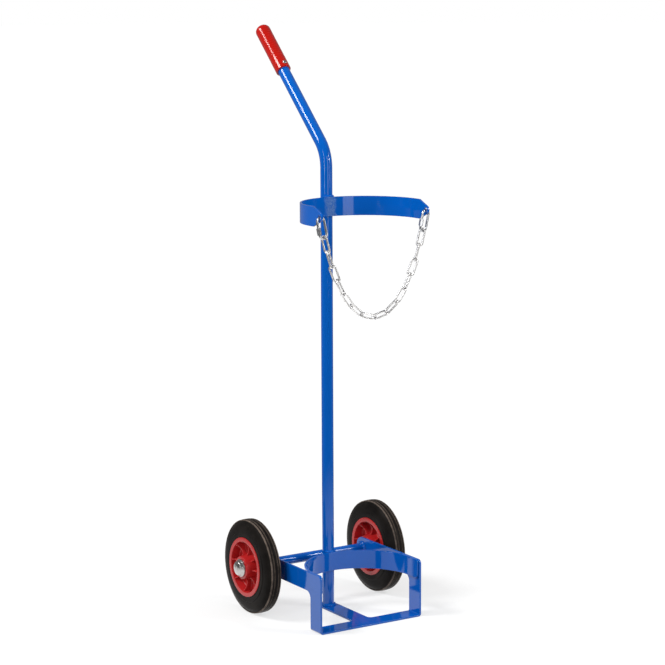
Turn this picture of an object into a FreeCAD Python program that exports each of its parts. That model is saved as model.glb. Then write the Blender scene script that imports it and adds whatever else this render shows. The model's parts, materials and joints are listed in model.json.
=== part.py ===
import FreeCAD, Part
import math
import os
import re
import Sketcher

# Gas cylinder trolley, in millimetres. X runs to the right along the axle, the front faces -Y and Z is up.
# The origin is on the ground, on the axis of the gas cylinder that the two collars hold.

# Driving sizes. Angles are in degrees.
SIZES = {
    # folded base frame
    "sheet_thickness": 4,
    "strip_width": 40,
    "frame_width": 248,
    "frame_front": 36,
    "plate_height": 122,
    "fold_radius": 6,
    "arm_tail": 22,
    "arm_fillet": 15,
    "plate_corner": 9,
    "tee_fillet": 10,
    "spine_tail": 20.5,
    "spine_corner": 8,
    # axle, washers and caps
    "axle_radius": 10,
    "axle_back": 185,
    "axle_height": 100,
    "axle_overhang": 4,
    "axle_chamfer": 1,
    "inner_washer_thickness": 2.5,
    "outer_washer_thickness": 1,
    "washer_radius": 18,
    "washer_fit": 0.2,
    "cap_flange_radius": 19,
    "cap_flange_thickness": 1.5,
    "cap_dome_radius": 17,
    "cap_dome_height": 13,
    "cap_wall": 1,
    "cap_fit": 0.05,
    # upright tube and handle
    "tube_radius": 12.5,
    "tube_wall": 2,
    "bend_height": 966.3,
    "bend_radius": 75,
    "handle_tilt": 46,
    "handle_length": 360.7,
    "grip_radius": 16.2,
    "grip_length": 127.7,
    "grip_end_wall": 4,
    "grip_end_radius": 12,
    "grip_fit": 0.05,
    "screw_from_mouth": 10,
    "screw_radius": 2,
    "screw_head_radius": 4.2,
    "screw_head_height": 2.4,
    "screw_length": 9,
    "screw_fit": 0.1,
    # collars
    "lower_collar_setback": 4,
    "lower_collar_corner": 8,
    "upper_collar_drop": 130.3,
    "upper_collar_radius": 125,
    "tip_front": 46,
    "tip_radius": 9,
    "tip_taper": 23,
    "tip_hole_radius": 5,
    # weld beads
    "weld_leg": 4.5,
    "collar_weld_leg": 3.6,
    "weld_arc": 64,
    "axle_weld_fit": 0.1,
    # wheels
    "wheel_radius": 100,
    "tread_half_width": 11.3,
    "tread_crown": 0.8,
    "tread_step": 3.6,
    "tread_groove_place": 4.2,
    "tread_groove_width": 1.4,
    "tread_groove_depth": 1.5,
    "shoulder_half_width": 17.1,
    "shoulder_drop": 15,
    "shoulder_radius": 18,
    "sidewall_half_width": 18.4,
    "sidewall_radius": 56,
    "bead_half_width": 19.5,
    "bead_height": 11.6,
    "rim_radius": 62.9,
    "rim_half_width": 21,
    "rim_ring_thickness": 8.9,
    "rim_lip_width": 4,
    "rim_lip_height": 3.9,
    "rim_draft": 2,
    "rim_web_thickness": 5,
    "rim_rib_count": 8,
    "rim_rib_thickness": 3,
    "rim_rib_setback": 8,
    "rim_rib_curve": 40,
    "rim_rib_phase": 12,
    "rim_hub_radius": 24,
    "rim_hub_half_length": 28,
    "rim_hub_draft": 2.5,
    "tyre_fit": 0.1,
    "hub_gap": 0.3,
    # roller bearings
    "roller_radius": 3,
    "roller_length": 40,
    "roller_count": 8,
    "roller_play": 0.1,
    "cage_length": 50,
    "cage_gap": 0.6,
    "cage_slot_play": 0.3,
    # chain of welded links
    "link_pitch": 32,
    "link_width": 16,
    "link_wire": 4,
    "link_play": 0.5,
    "link_count": 14,
    "chain_facing": 32,
    # quick links that hang the chain from the upper collar
    "ring_wire": 5,
    "ring_inner_length": 38,
    "ring_width": 22.5,
    "ring_play": 1.75,
    "ring_lean": 12.5,
    "left_ring_turn": 6,
    "right_ring_turn": 13,
    "ring_stub": 2.5,
    "ring_opening": 7.5,
    "nut_flats": 8,
    "nut_length": 14,
    "nut_drop": 4.75,
    "nut_fit": 0.1,
    # how far every cut runs past the face it leaves by
    "overrun": 5,
}

# Places that follow from the driving sizes.
DERIVED = {
    "half_width": "frame_width / 2",
    "half_gap": "frame_width / 2 - sheet_thickness",
    "leg_back": "strip_width - frame_front",
    "arm_bottom": "plate_height - strip_width",
    "arm_end": "axle_back + arm_tail",
    "arm_half": "strip_width / 2",
    "fold_inner": "fold_radius - sheet_thickness",
    "bar_middle": "strip_width / 2 - frame_front",
    "lower_inner": "half_gap - sheet_thickness",
    "lower_front": "lower_collar_setback - frame_front",
    "tube_back": "half_gap + tube_radius",
    "spine_end": "tube_back + spine_tail",
    "upper_outer": "upper_collar_radius + sheet_thickness",
    "upper_middle": "half_gap - upper_outer",
    "upper_collar_bottom": "bend_height - upper_collar_drop",
    "tip_centre": "upper_collar_bottom + strip_width / 2",
    "bend_tangent": "bend_radius * tan(handle_tilt / 2)",
    "tube_run": "handle_length - grip_end_wall",
    "grip_mouth": "handle_length - grip_length",
    "grip_bore": "tube_radius + grip_fit",
    "screw_run": "grip_mouth + screw_from_mouth",
    "washer_bore": "axle_radius + washer_fit",
    "hub_start": "half_width + inner_washer_thickness + hub_gap",
    "wheel_place": "hub_start + rim_hub_half_length",
    "outer_washer_start": "hub_start + 2 * rim_hub_half_length + hub_gap",
    "cap_start": "outer_washer_start + outer_washer_thickness",
    "axle_end": "cap_start + cap_flange_thickness + axle_overhang",
    "dome_radius": "(cap_dome_radius ^ 2 + cap_dome_height ^ 2) / (2 * cap_dome_height)",
    "dome_base": "cap_flange_thickness",
    "dome_top": "cap_flange_thickness + cap_dome_height",
    "dome_inner_radius": "dome_radius - cap_wall",
    "dome_centre": "dome_top - dome_radius",
    "dome_inner_mouth": "sqrt(dome_inner_radius ^ 2 - (dome_base - dome_centre) ^ 2)",
    "race_radius": "axle_radius + 2 * roller_radius + 2 * roller_play",
    "roller_orbit": "axle_radius + roller_radius + roller_play",
    "rim_inner": "rim_radius - rim_ring_thickness",
    "rim_seat": "rim_radius - rim_lip_height",
    "tread_edge": "wheel_radius - tread_crown",
    "tread_foot": "tread_edge - tread_step",
    "bead_top": "rim_radius + bead_height",
    "link_bend": "(link_width - link_wire) / 2",
    "link_half_run": "(link_pitch + link_wire) / 2 - link_bend",
    "ring_bend": "(ring_width - ring_wire) / 2",
    "ring_reach": "(ring_inner_length + ring_wire) / 2",
    "ring_half_run": "ring_reach - ring_bend",
    "gap_low": "ring_stub - ring_half_run",
    "gap_high": "gap_low + ring_opening",
}

# Each link's turn about its own length, in degrees, where 0 is flat to the chain's facing.
# Neighbours cross at about a right angle, with a twist that runs unevenly along the chain.
LINK_ROLLS = [37, 112, 187, 294, 398, 487, 577, 667, 762, 855, 959, 1065, 1158, 1232]

WORD = re.compile(r"[a-z][a-z_]*")
doc = FreeCAD.newDocument("gas_cylinder_trolley")
sheet = doc.addObject("Spreadsheet::Sheet", "Sizes")
for row, (alias, number) in enumerate(SIZES.items(), 1):
    sheet.set(f"A{row}", alias)
    sheet.set(f"B{row}", str(number))
    sheet.setAlias(f"B{row}", alias)
doc.recompute()


def bind(text):
    """Writes a sum of named sizes as an expression on the spreadsheet's cells."""
    def swap(match):
        word = match.group(0)
        if word in DERIVED:
            return "(" + bind(DERIVED[word]) + ")"
        if word in SIZES:
            return "Sizes." + word
        return word
    return WORD.sub(swap, text)


def value(text):
    """The present value of a sum of named sizes."""
    return float(sheet.evalExpression(bind(text)))


def new_body(label):
    body = doc.addObject("PartDesign::Body", label)
    body.Label = label
    body.AllowCompound = True
    return body


def place(body, x="0", y="0", z="0", axis=None, angle=None):
    """Binds a body's place, and its turn about one axis, to the spreadsheet."""
    if axis:
        turn = FreeCAD.Rotation(FreeCAD.Vector(*axis), value(angle))
        body.Placement = FreeCAD.Placement(FreeCAD.Vector(), turn)
        body.setExpression("Placement.Rotation.Angle", bind(angle))
    for name, text in (("x", x), ("y", y), ("z", z)):
        body.setExpression(f"Placement.Base.{name}", bind(text))


def new_sketch(body, name, role, offset=None):
    """A sketch on one of the body's own origin planes, set off along its normal."""
    sketch = body.newObject("Sketcher::SketchObject", f"{body.Label}_{name}")
    plane = next(item for item in body.Origin.OriginFeatures if item.Role == role)
    sketch.AttachmentSupport = [(plane, "")]
    sketch.MapMode = "FlatFace"
    if offset:
        sketch.setExpression("AttachmentOffset.Base.z", bind(offset))
    return sketch


def pin_point(sketch, item, end, x, y):
    """Ties a point of the sketch to its place in named sizes."""
    for kind, axis, text in (("DistanceX", -2, x), ("DistanceY", -1, y)):
        if text == "0":
            sketch.addConstraint(Sketcher.Constraint("PointOnObject", item, end, axis))
        else:
            index = sketch.addConstraint(Sketcher.Constraint(kind, -1, 1, item, end, value(text)))
            sketch.setExpression(f"Constraints[{index}]", bind(text))


def draw(sketch, points, closed=True):
    """Draws a line through points. A point (x, y) is reached straight, and a point (x, y, radius, turn)
    along an arc of less than half a circle, turning left for 1 and right for -1."""
    spots = [FreeCAD.Vector(value(point[0]), value(point[1]), 0) for point in points]
    last = len(points) if closed else len(points) - 1
    joints = []
    for number in range(last):
        start = spots[number]
        following = (number + 1) % len(points)
        end = spots[following]
        step = points[following][2:]
        if step:
            radius = value(step[0])
            chord = end - start
            side = FreeCAD.Vector(-chord.y, chord.x, 0).normalize() * step[1]
            depth = math.sqrt(max(radius ** 2 - (chord.Length / 2) ** 2, 0))
            centre = (start + end) * 0.5 + side * depth
            first, second = (start, end) if step[1] > 0 else (end, start)
            angles = [math.atan2(spot.y - centre.y, spot.x - centre.x) for spot in (first, second)]
            circle = Part.Circle(centre, FreeCAD.Vector(0, 0, 1), radius)
            item = sketch.addGeometry(Part.ArcOfCircle(circle, angles[0], angles[1]))
            index = sketch.addConstraint(Sketcher.Constraint("Radius", item, radius))
            sketch.setExpression(f"Constraints[{index}]", bind(step[0]))
            joints.append((item, 1, 2) if step[1] > 0 else (item, 2, 1))
        else:
            item = sketch.addGeometry(Part.LineSegment(start, end))
            joints.append((item, 1, 2))
    for number, (item, start_end, far_end) in enumerate(joints):
        pin_point(sketch, item, start_end, points[number][0], points[number][1])
        if number + 1 < len(joints) or closed:
            after = joints[(number + 1) % len(joints)]
            sketch.addConstraint(Sketcher.Constraint("Coincident", item, far_end, after[0], after[1]))
        else:
            pin_point(sketch, item, far_end, points[-1][0], points[-1][1])


def draw_circle(sketch, x, y, radius):
    centre = FreeCAD.Vector(value(x), value(y), 0)
    item = sketch.addGeometry(Part.Circle(centre, FreeCAD.Vector(0, 0, 1), value(radius)))
    pin_point(sketch, item, 3, x, y)
    index = sketch.addConstraint(Sketcher.Constraint("Radius", item, value(radius)))
    sketch.setExpression(f"Constraints[{index}]", bind(radius))


def extrude(body, name, sketch, length, kind="PartDesign::Pad", symmetric=False, reverse=False):
    feature = body.newObject(kind, f"{body.Label}_{name}")
    feature.Profile = sketch
    feature.setExpression("Length", bind(length))
    feature.SideType = "Symmetric" if symmetric else "One side"
    feature.Reversed = reverse
    return feature


def revolve(body, name, sketch, axis, kind="PartDesign::Revolution", angle=None):
    """Turns a sketch about one of its own axes, through a whole turn or through an angle on its middle."""
    feature = body.newObject(kind, f"{body.Label}_{name}")
    feature.Profile = sketch
    feature.ReferenceAxis = (sketch, [axis])
    if angle:
        feature.Midplane = True
        feature.setExpression("Angle", bind(angle))
    return feature


def repeat_round(body, name, feature, count):
    """Repeats a feature round the body's X axis."""
    pattern = body.newObject("PartDesign::PolarPattern", f"{body.Label}_{name}")
    pattern.Originals = [feature]
    axis = next(item for item in body.Origin.OriginFeatures if item.Role == "X_Axis")
    pattern.Axis = (axis, [""])
    pattern.Angle = 360
    pattern.setExpression("Occurrences", bind(count))
    body.Tip = pattern
    return pattern


def check_cut(body, feature, before):
    """A cut that takes nothing away is an error."""
    doc.recompute()
    if body.Shape.Volume >= before * (1 - 1e-9):
        raise ValueError(f"{feature.Label} cuts nothing")


def round_edges(body, name, radius, test):
    """Rounds the edges of the body whose middle and direction pass the test."""
    doc.recompute()
    base = body.Tip
    names = []
    for number, edge in enumerate(base.Shape.Edges, 1):
        if edge.Curve.TypeId == "Part::GeomLine" and test(edge.CenterOfMass, edge.Curve.Direction):
            names.append(f"Edge{number}")
    if not names:
        raise ValueError(f"{body.Label} has no edge for {name}")
    fillet = body.newObject("PartDesign::Fillet", f"{body.Label}_{name}")
    fillet.Base = (base, names)
    fillet.setExpression("Radius", bind(radius))
    return fillet


def near(number, text):
    return abs(number - value(text)) < value("sheet_thickness") / 100


def mirrored(points):
    """A profile's right half, completed with its mirror image in the second axis."""
    left = []
    highest = len(points) - (2 if points[-1][0] == "0" else 1)
    for number in range(highest, -1, -1):
        x, y = points[number][:2]
        arc = points[number + 1][2:] if number + 1 < len(points) else ()
        left.append((f"-({x})", y) + arc)
    return points + left


def base_frame():
    """One sheet folded up at both sides: a front bar, two legs that widen into arms, and a spine."""
    body = new_body("base_frame")
    side = new_sketch(body, "side", "YZ_Plane")
    draw(side, [
        ("-frame_front", "0"),
        ("leg_back", "0"),
        ("leg_back", "arm_bottom - arm_fillet"),
        ("leg_back + arm_fillet", "arm_bottom", "arm_fillet", -1),
        ("arm_end - arm_half", "arm_bottom"),
        ("arm_end", "arm_bottom + arm_half", "arm_half", 1),
        ("arm_end - arm_half", "plate_height", "arm_half", 1),
        ("plate_corner - frame_front", "plate_height"),
        ("-frame_front", "plate_height - plate_corner", "plate_corner", 1),
    ])
    extrude(body, "blank", side, "frame_width", symmetric=True)
    doc.recompute()
    before = body.Shape.Volume
    inside = new_sketch(body, "inside", "XZ_Plane")
    draw(inside, [
        ("-half_gap", "plate_height + overrun"),
        ("-half_gap", "sheet_thickness + fold_inner"),
        ("fold_inner - half_gap", "sheet_thickness", "fold_inner", 1),
        ("half_gap - fold_inner", "sheet_thickness"),
        ("half_gap", "sheet_thickness + fold_inner", "fold_inner", 1),
        ("half_gap", "plate_height + overrun"),
    ])
    hollow = extrude(body, "hollow", inside, "2 * (arm_end + overrun)", "PartDesign::Pocket", symmetric=True)
    check_cut(body, hollow, before)
    round_edges(body, "folds", "fold_radius", lambda middle, way:
                near(middle.z, "0") and near(abs(middle.x), "half_width") and abs(way.y) > 0.9)
    spine = new_sketch(body, "spine", "XY_Plane")
    draw(spine, [
        ("arm_half + tee_fillet", "bar_middle"),
        ("arm_half + tee_fillet", "leg_back"),
        ("arm_half", "leg_back + tee_fillet", "tee_fillet", -1),
        ("arm_half", "spine_end - spine_corner"),
        ("arm_half - spine_corner", "spine_end", "spine_corner", 1),
        ("spine_corner - arm_half", "spine_end"),
        ("-arm_half", "spine_end - spine_corner", "spine_corner", 1),
        ("-arm_half", "leg_back + tee_fillet"),
        ("-(arm_half + tee_fillet)", "leg_back", "tee_fillet", -1),
        ("-(arm_half + tee_fillet)", "bar_middle"),
    ])
    extrude(body, "spine_pad", spine, "sheet_thickness")
    doc.recompute()
    before = body.Shape.Volume
    hole = new_sketch(body, "hole", "YZ_Plane")
    draw_circle(hole, "axle_back", "axle_height", "axle_radius + axle_weld_fit")
    bore = extrude(body, "axle_hole", hole, "frame_width + 2 * overrun", "PartDesign::Pocket", symmetric=True)
    check_cut(body, bore, before)
    return body


def collar_plan(radius, middle, front):
    """The plan of a band bent round a half circle, with straight ends that run forward."""
    outer = f"{radius} + sheet_thickness"
    return [
        (outer, front),
        (outer, middle),
        ("0", f"{middle} + {outer}", outer, 1),
        (f"-({outer})", middle, outer, 1),
        (f"-({outer})", front),
        (f"-({radius})", front),
        (f"-({radius})", middle),
        ("0", f"{middle} + {radius}", radius, -1),
        (radius, middle, radius, -1),
        (radius, front),
    ]


def lower_collar():
    """The band between the arms that holds the foot of the cylinder."""
    body = new_body("lower_collar")
    plan = new_sketch(body, "plan", "XY_Plane")
    draw(plan, collar_plan("lower_inner", "0", "lower_front"))
    extrude(body, "band", plan, "strip_width")
    round_edges(body, "corners", "lower_collar_corner", lambda middle, way:
                near(middle.y, "lower_front") and abs(way.x) > 0.9)
    place(body, z="arm_bottom")
    return body


def upper_collar():
    """The open band at the top, with tapered ends that carry the chain."""
    body = new_body("upper_collar")
    plan = new_sketch(body, "plan", "XY_Plane", offset="-arm_half")
    draw(plan, collar_plan("upper_collar_radius", "upper_middle", "-(tip_front + tip_radius)"))
    extrude(body, "band", plan, "strip_width")
    doc.recompute()
    before = body.Shape.Volume
    # The taper runs from the band's edge to the round tip, which it meets on a tangent.
    span = "(tip_taper ^ 2 + arm_half ^ 2)"
    tangent = f"sqrt({span} - tip_radius ^ 2)"
    tip_y = f"tip_radius * (tip_radius * tip_taper - {tangent} * arm_half) / {span} - tip_front"
    tip_z = f"tip_radius * (tip_radius * arm_half + {tangent} * tip_taper) / {span}"
    waste = new_sketch(body, "waste", "YZ_Plane")
    draw(waste, [
        ("tip_taper - tip_front", "arm_half"),
        ("tip_taper - tip_front", "arm_half + overrun"),
        ("-(tip_front + tip_radius + overrun)", "arm_half + overrun"),
        ("-(tip_front + tip_radius + overrun)", "-(arm_half + overrun)"),
        ("tip_taper - tip_front", "-(arm_half + overrun)"),
        ("tip_taper - tip_front", "-arm_half"),
        (tip_y, f"-({tip_z})"),
        (tip_y, tip_z, "tip_radius", -1),
    ])
    across = "2 * (upper_outer + overrun)"
    taper = extrude(body, "tips", waste, across, "PartDesign::Pocket", symmetric=True)
    check_cut(body, taper, before)
    before = body.Shape.Volume
    hole = new_sketch(body, "hole", "YZ_Plane")
    draw_circle(hole, "-tip_front", "0", "tip_hole_radius")
    bore = extrude(body, "tip_holes", hole, across, "PartDesign::Pocket", symmetric=True)
    check_cut(body, bore, before)
    place(body, z="tip_centre")
    return body


def along_handle(run):
    """The Y and Z of the point on the handle's axis at a run from the bend's corner."""
    return f"tube_back + {run} * sin(handle_tilt)", f"bend_height + {run} * cos(handle_tilt)"


def upright_tube():
    """The tube that stands on the spine and bends back into the handle."""
    body = new_body("upright_tube")
    section = new_sketch(body, "section", "XY_Plane", offset="sheet_thickness")
    draw_circle(section, "0", "tube_back", "tube_radius")
    draw_circle(section, "0", "tube_back", "tube_radius - tube_wall")
    route = new_sketch(body, "route", "YZ_Plane")
    draw(route, [
        ("tube_back", "sheet_thickness"),
        ("tube_back", "bend_height - bend_tangent"),
        along_handle("bend_tangent") + ("bend_radius", -1),
        along_handle("tube_run"),
    ], closed=False)
    pipe = body.newObject("PartDesign::AdditivePipe", "upright_tube_pipe")
    pipe.Profile = section
    pipe.Spine = route
    doc.recompute()
    before = body.Shape.Volume
    # The grip's screw passes the wall on the handle's upper side.
    pilot = body.newObject("PartDesign::SubtractiveCylinder", "upright_tube_pilot")
    pilot.setExpression("Radius", bind("screw_radius + screw_fit"))
    pilot.setExpression("Height", bind("tube_radius + overrun"))
    y, z = along_handle("screw_run")
    place(pilot, y=y, z=z, axis=(1, 0, 0), angle="90 - handle_tilt")
    check_cut(body, pilot, before)
    return body


def foot_weld():
    """The bead round the foot of the tube."""
    body = new_body("foot_weld")
    bead = new_sketch(body, "bead", "XZ_Plane")
    draw(bead, [
        ("tube_radius", "0"),
        ("tube_radius + weld_leg", "0"),
        ("tube_radius", "weld_leg", "1.2 * weld_leg", 1),
    ])
    revolve(body, "ring", bead, "V_Axis")
    place(body, y="tube_back", z="sheet_thickness")
    return body


def collar_weld(label, height):
    """The short bead that joins a collar's top edge to the front of the tube."""
    body = new_body(label)
    bead = new_sketch(body, "bead", "YZ_Plane")
    draw(bead, [
        ("-tube_radius", "0"),
        ("-tube_radius", "collar_weld_leg"),
        ("-(tube_radius + collar_weld_leg)", "0", "1.2 * collar_weld_leg", 1),
    ])
    revolve(body, "arc", bead, "V_Axis", angle="weld_arc")
    place(body, y="tube_back", z=height)
    return body


def axle():
    """The solid bar through both arms that carries the wheels."""
    body = new_body("axle")
    half = new_sketch(body, "half", "XY_Plane")
    draw(half, [
        ("-axle_end", "0"),
        ("axle_end", "0"),
        ("axle_end", "axle_radius - axle_chamfer"),
        ("axle_end - axle_chamfer", "axle_radius"),
        ("axle_chamfer - axle_end", "axle_radius"),
        ("-axle_end", "axle_radius - axle_chamfer"),
    ])
    revolve(body, "bar", half, "H_Axis")
    place(body, y="axle_back", z="axle_height")
    return body


def axle_welds():
    """The beads that join the axle to the inner faces of both arms."""
    body = new_body("axle_welds")
    beads = new_sketch(body, "beads", "XY_Plane")
    draw(beads, [
        ("half_gap", "axle_radius"),
        ("half_gap", "axle_radius + weld_leg"),
        ("half_gap - weld_leg", "axle_radius", "1.2 * weld_leg", 1),
    ])
    draw(beads, [
        ("-half_gap", "axle_radius"),
        ("weld_leg - half_gap", "axle_radius"),
        ("-half_gap", "axle_radius + weld_leg", "1.2 * weld_leg", 1),
    ])
    revolve(body, "rings", beads, "H_Axis")
    place(body, y="axle_back", z="axle_height")
    return body


def hand_grip():
    """The closed sleeve on the end of the handle, ribbed except near its mouth."""
    body = new_body("hand_grip")
    half = new_sketch(body, "half", "YZ_Plane")
    draw(half, [
        ("0", "tube_run"),
        ("grip_bore", "tube_run"),
        ("grip_bore", "grip_mouth"),
        ("grip_radius", "grip_mouth"),
        ("grip_radius", "handle_length - grip_end_radius"),
        ("grip_radius - grip_end_radius", "handle_length", "grip_end_radius", 1),
        ("0", "handle_length"),
    ])
    revolve(body, "sleeve", half, "V_Axis")
    doc.recompute()
    before = body.Shape.Volume
    hole = new_sketch(body, "hole", "XZ_Plane")
    draw_circle(hole, "0", "screw_run", "screw_radius + screw_fit")
    bore = extrude(body, "screw_hole", hole, "grip_radius + overrun", "PartDesign::Pocket", reverse=True)
    check_cut(body, bore, before)
    place(body, y="tube_back", z="bend_height", axis=(1, 0, 0), angle="-handle_tilt")
    return body


def grip_screw():
    """The pan head screw that keeps the grip on the tube."""
    body = new_body("grip_screw")
    half = new_sketch(body, "half", "XZ_Plane")
    draw(half, [
        ("0", "grip_radius - screw_length"),
        ("screw_radius", "grip_radius - screw_length"),
        ("screw_radius", "grip_radius"),
        ("screw_head_radius", "grip_radius"),
        ("screw_head_radius", "grip_radius + screw_head_height / 2"),
        ("screw_head_radius - screw_head_height / 2", "grip_radius + screw_head_height",
         "screw_head_height / 2", 1),
        ("0", "grip_radius + screw_head_height"),
    ])
    revolve(body, "screw", half, "V_Axis")
    y, z = along_handle("screw_run")
    place(body, y=y, z=z, axis=(1, 0, 0), angle="90 - handle_tilt")
    return body


def washer(label, side, start, thickness):
    """A flat washer on the axle, from its start outwards."""
    body = new_body(label)
    ring = new_sketch(body, "ring", "YZ_Plane")
    draw_circle(ring, "0", "0", "washer_radius")
    draw_circle(ring, "0", "0", "washer_bore")
    extrude(body, "disc", ring, thickness, symmetric=True)
    place(body, x=f"{side} * ({start} + {thickness} / 2)", y="axle_back", z="axle_height")
    return body


def axle_cap(label, side):
    """The domed push-on cap that keeps the wheel on the axle."""
    body = new_body(label)
    half = new_sketch(body, "half", "XY_Plane")
    draw(half, [
        ("0", "axle_radius + cap_fit"),
        ("0", "cap_flange_radius"),
        ("dome_base", "cap_flange_radius"),
        ("dome_base", "cap_dome_radius"),
        ("dome_top", "0", "dome_radius", -1),
        ("dome_top - cap_wall", "0"),
        ("dome_base", "dome_inner_mouth", "dome_inner_radius", 1),
        ("dome_base", "axle_radius + cap_fit"),
    ])
    revolve(body, "dome", half, "H_Axis")
    turn = 0 if side > 0 else 180
    place(body, x=f"{side} * cap_start", y="axle_back", z="axle_height", axis=(0, 0, 1), angle=str(turn))
    return body


def tyre(label, side):
    """The solid tyre: two beads over the rim's lips, bulged sidewalls and a raised, grooved tread."""
    body = new_body(label)
    half = new_sketch(body, "half", "XY_Plane")
    draw(half, mirrored([
        ("rim_half_width - rim_lip_width - tyre_fit", "rim_seat + tyre_fit"),
        ("rim_half_width - rim_lip_width - tyre_fit", "rim_radius + tyre_fit"),
        ("bead_half_width", "rim_radius + tyre_fit"),
        ("bead_half_width", "bead_top - (bead_half_width - sidewall_half_width)"),
        ("sidewall_half_width", "bead_top"),
        ("shoulder_half_width", "wheel_radius - shoulder_drop", "sidewall_radius", 1),
        ("tread_half_width", "tread_foot", "shoulder_radius", 1),
        ("tread_half_width", "tread_edge"),
        ("0", "wheel_radius", "(tread_half_width ^ 2 + tread_crown ^ 2) / (2 * tread_crown)", 1),
    ]))
    revolve(body, "ring", half, "H_Axis")
    doc.recompute()
    before = body.Shape.Volume
    grooves = new_sketch(body, "grooves", "XY_Plane")
    for sign in ("", "-"):
        inner = f"{sign}(tread_groove_place - tread_groove_width / 2)"
        outer = f"{sign}(tread_groove_place + tread_groove_width / 2)"
        draw(grooves, [
            (inner, "wheel_radius + overrun"),
            (inner, "wheel_radius - tread_groove_depth"),
            (outer, "wheel_radius - tread_groove_depth"),
            (outer, "wheel_radius + overrun"),
        ])
    cut = revolve(body, "tread", grooves, "H_Axis", "PartDesign::Groove")
    check_cut(body, cut, before)
    place(body, x=f"{side} * wheel_place", y="axle_back", z="axle_height")
    return body


def rim(label, side):
    """The moulded wheel centre: a ring with two lips, a web, a long hub and curved ribs on both faces."""
    body = new_body(label)
    half = new_sketch(body, "half", "XY_Plane")
    draw(half, mirrored([
        ("rim_hub_half_length", "race_radius"),
        ("rim_hub_half_length", "rim_hub_radius"),
        ("rim_web_thickness / 2", "rim_hub_radius + rim_hub_draft"),
        ("rim_web_thickness / 2", "rim_inner - rim_draft"),
        ("rim_half_width", "rim_inner"),
        ("rim_half_width", "rim_radius"),
        ("rim_half_width - rim_lip_width", "rim_radius"),
        ("rim_half_width - rim_lip_width", "rim_seat"),
    ]))
    revolve(body, "centre", half, "H_Axis")
    ribs = new_sketch(body, "rib", "XY_Plane")
    root = "rim_hub_radius - rim_rib_thickness"
    top = "rim_inner + rim_rib_thickness"
    draw(ribs, [
        ("rim_hub_half_length - rim_rib_thickness", root),
        ("rim_half_width - rim_rib_setback", top, "rim_rib_curve", -1),
        ("rim_rib_setback - rim_half_width", top),
        ("rim_rib_thickness - rim_hub_half_length", root, "rim_rib_curve", -1),
    ])
    rib = extrude(body, "ribs", ribs, "rim_rib_thickness", symmetric=True)
    repeat_round(body, "rib_ring", rib, "rim_rib_count")
    place(body, x=f"{side} * wheel_place", y="axle_back", z="axle_height",
          axis=(1, 0, 0), angle="rim_rib_phase")
    return body


def roller_cage(label, side):
    """The cage of the roller bearing, with a slot for each roller."""
    body = new_body(label)
    ring = new_sketch(body, "ring", "YZ_Plane")
    draw_circle(ring, "0", "0", "race_radius - cage_gap")
    draw_circle(ring, "0", "0", "axle_radius + cage_gap")
    extrude(body, "sleeve", ring, "cage_length", symmetric=True)
    doc.recompute()
    before = body.Shape.Volume
    slot = new_sketch(body, "slot", "XZ_Plane")
    end = "roller_length / 2 + cage_slot_play"
    lip = "roller_radius + cage_slot_play"
    draw(slot, [(f"-({end})", f"-({lip})"), (end, f"-({lip})"), (end, lip), (f"-({end})", lip)])
    cut = extrude(body, "slots", slot, "race_radius + overrun", "PartDesign::Pocket")
    check_cut(body, cut, before)
    repeat_round(body, "slot_ring", cut, "roller_count")
    place(body, x=f"{side} * wheel_place", y="axle_back", z="axle_height")
    return body


def rollers(label, side):
    """The rollers that run between the axle and the hub, one in each slot of the cage."""
    body = new_body(label)
    ring = new_sketch(body, "ring", "YZ_Plane")
    for number in range(SIZES["roller_count"]):
        angle = f"({number} * 360 / roller_count)"
        draw_circle(ring, f"roller_orbit * cos{angle}", f"roller_orbit * sin{angle}", "roller_radius")
    extrude(body, "set", ring, "roller_length", symmetric=True)
    place(body, x=f"{side} * wheel_place", y="axle_back", z="axle_height")
    return body


def chain_link(label, placement):
    """A welded link: one round wire bent into a long closed loop along the link's X axis."""
    body = new_body(label)
    route = new_sketch(body, "route", "XY_Plane")
    draw(route, [
        ("0", "-link_bend"),
        ("link_half_run", "-link_bend"),
        ("link_half_run + link_bend", "0", "link_bend", 1),
        ("link_half_run", "link_bend", "link_bend", 1),
        ("-link_half_run", "link_bend"),
        ("-(link_half_run + link_bend)", "0", "link_bend", 1),
        ("-link_half_run", "-link_bend", "link_bend", 1),
    ])
    section = new_sketch(body, "section", "YZ_Plane")
    draw_circle(section, "-link_bend", "0", "link_wire / 2")
    pipe = body.newObject("PartDesign::AdditivePipe", f"{label}_pipe")
    pipe.Profile = section
    pipe.Spine = route
    body.Placement = placement
    return body


def quick_link(label, placement):
    """An open loop of thicker wire, whose gap in one leg the nut closes. The loop's top is at +X."""
    body = new_body(label)
    route = new_sketch(body, "route", "XY_Plane")
    draw(route, [
        ("gap_high", "ring_bend"),
        ("ring_half_run", "ring_bend"),
        ("ring_reach", "0", "ring_bend", -1),
        ("ring_half_run", "-ring_bend", "ring_bend", -1),
        ("-ring_half_run", "-ring_bend"),
        ("-ring_reach", "0", "ring_bend", -1),
        ("-ring_half_run", "ring_bend", "ring_bend", -1),
        ("gap_low", "ring_bend"),
    ], closed=False)
    section = new_sketch(body, "section", "YZ_Plane", offset="gap_high")
    draw_circle(section, "ring_bend", "0", "ring_wire / 2")
    pipe = body.newObject("PartDesign::AdditivePipe", f"{label}_pipe")
    pipe.Profile = section
    pipe.Spine = route
    body.Placement = placement
    return body


def link_nut(label, placement):
    """The long hexagon nut that closes a quick link."""
    body = new_body(label)
    flats = new_sketch(body, "flats", "YZ_Plane", offset="-nut_drop")
    reach = "nut_flats / (2 * cos(30))"
    draw(flats, [
        (f"ring_bend + {reach} * cos({corner})", f"{reach} * sin({corner})") for corner in range(30, 390, 60)
    ])
    draw_circle(flats, "ring_bend", "0", "ring_wire / 2 + nut_fit")
    extrude(body, "prism", flats, "nut_length", symmetric=True)
    body.Placement = placement
    return body


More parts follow.
